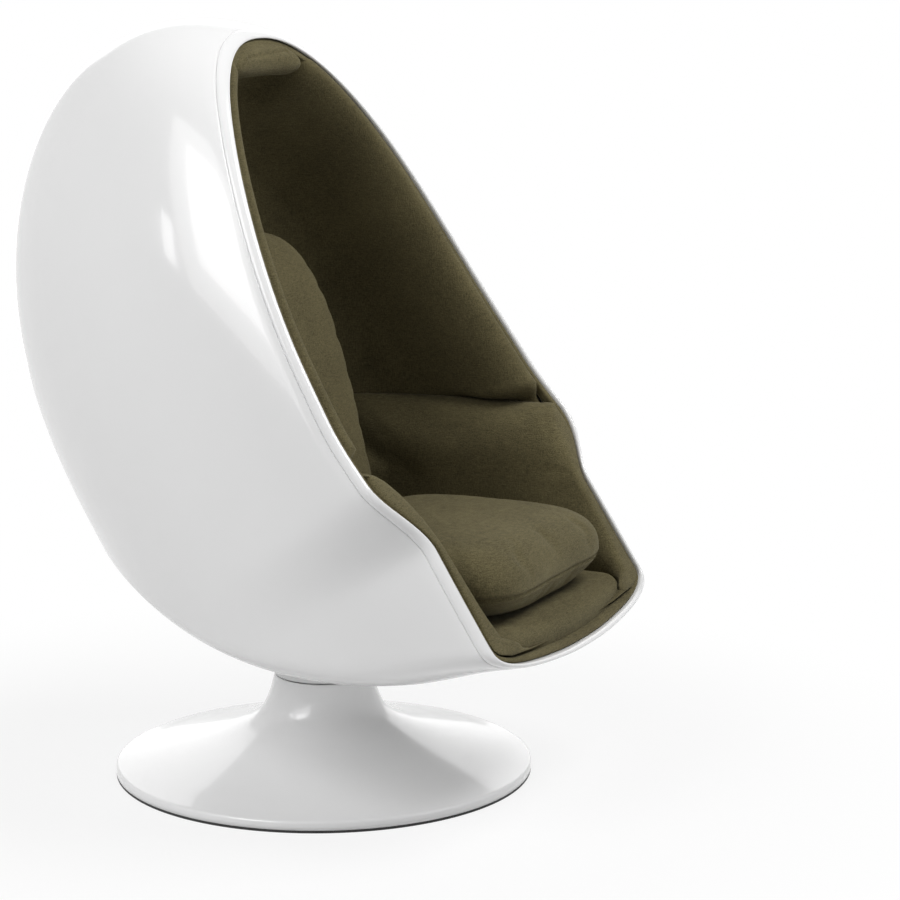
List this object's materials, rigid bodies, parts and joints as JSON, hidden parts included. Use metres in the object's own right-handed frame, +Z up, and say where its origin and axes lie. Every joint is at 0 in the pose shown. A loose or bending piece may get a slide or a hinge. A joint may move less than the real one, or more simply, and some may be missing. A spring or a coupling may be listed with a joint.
{
  "type": "pod chair",
  "caption": "Swivelling egg-shaped lounge chair: glossy moulded shell with a stepped leaning mouth, felt lining, arm pads and loose cushions, on a trumpet pedestal.",
  "frame": {"origin": "on the floor, on the swivel axis, at the centre of the pedestal's foot ring", "axes": "+Z up along the swivel axis, -Y the way the sitter faces, +X to the sitter's left hand as seen from above with the chair facing -Y"},
  "size_m": [0.8428, 1.0909, 1.3095],
  "materials": {
    "pedestal_gloss": "high gloss white enamel on spun aluminium",
    "shell_gloss": "polished white gelcoat on glass fibre",
    "olive_felt": "dense olive brown wool felt",
    "zip_tape": "woven tape with a nylon coil",
    "birch_ply": "unfinished birch plywood",
    "dark_steel": "black powder coat",
    "bright_steel": "zinc plated",
    "cage_nylon": "moulded nylon",
    "black_rubber": "matte"
  },
  "bodies": {
    "pedestal": {"pedestal_skin": "pedestal_gloss", "rubber_ring": "black_rubber", "ballast_plate": "dark_steel", "ballast_screws": "bright_steel", "skin_clips": "dark_steel", "column_tube": "dark_steel", "column_gussets": "dark_steel", "column_head": "dark_steel", "lower_race": "bright_steel", "spindle": "bright_steel", "spindle_washer": "bright_steel", "spindle_nut": "bright_steel"},
    "ball_set": {"ball_cage": "cage_nylon", "bearing_balls": "bright_steel"},
    "pod": {"upper_race": "bright_steel", "swivel_plate": "dark_steel", "plate_bolts": "bright_steel", "mounting_block": "birch_ply", "shell_boss": "shell_gloss", "shell": "shell_gloss", "mouth_bead": "shell_gloss", "border_roll": "olive_felt", "lining": "olive_felt", "board_blocks": "birch_ply", "board_screws": "bright_steel", "seat_board": "birch_ply", "seat_deck": "olive_felt", "arm_pad_left": "olive_felt", "arm_pad_right": "olive_felt", "seat_cushion": "olive_felt", "back_cushion": "olive_felt", "seat_zip": "zip_tape", "back_zip": "zip_tape", "head_pad": "olive_felt"}
  },
  "joints": [
    {"name": "swivel", "type": "hinge", "parent": "pedestal", "child": "pod", "pos_m": [0, 0, 0.178], "axis": [0, 0, 1], "continuous": true},
    {"name": "ball_roll", "type": "hinge", "parent": "pedestal", "child": "ball_set", "pos_m": [0, 0, 0.178], "axis": [0, 0, 1], "continuous": true}
  ],
  "couplings": [
    {"joint": "ball_roll", "follows": "swivel", "ratio": 0.5}
  ]
}
